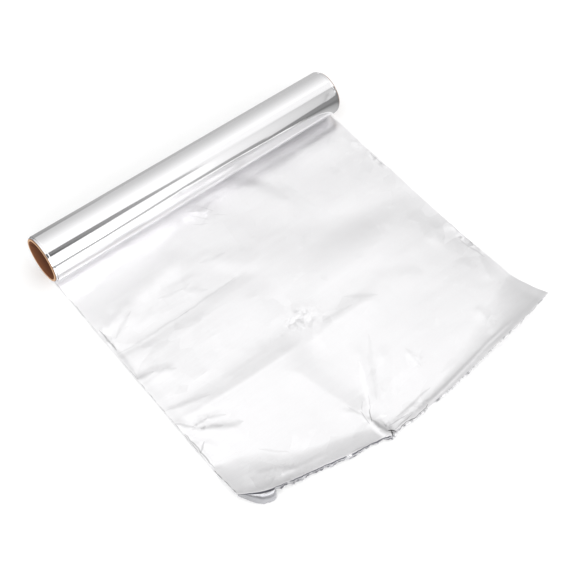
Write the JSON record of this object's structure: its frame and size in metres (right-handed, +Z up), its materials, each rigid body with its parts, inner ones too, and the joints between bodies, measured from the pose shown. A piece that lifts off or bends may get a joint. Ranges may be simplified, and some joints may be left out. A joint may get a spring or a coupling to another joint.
{
  "type": "foil roll",
  "caption": "Household aluminium foil wound on a cardboard core, with its first stretch pulled off flat in front, creased, with a torn front edge and curled corners.",
  "frame": {"origin": "middle of the core's bore, on the roll's axis", "axes": "+X along the roll's axis, +Z up, the pulled sheet lies towards -Y"},
  "size_m": [0.3042, 0.3079, 0.0418],
  "materials": {
    "foil": "bright outside, matt inside",
    "core": "matt"
  },
  "bodies": {
    "root": {"core_tube": "core", "foil": "foil"}
  },
  "joints": []
}
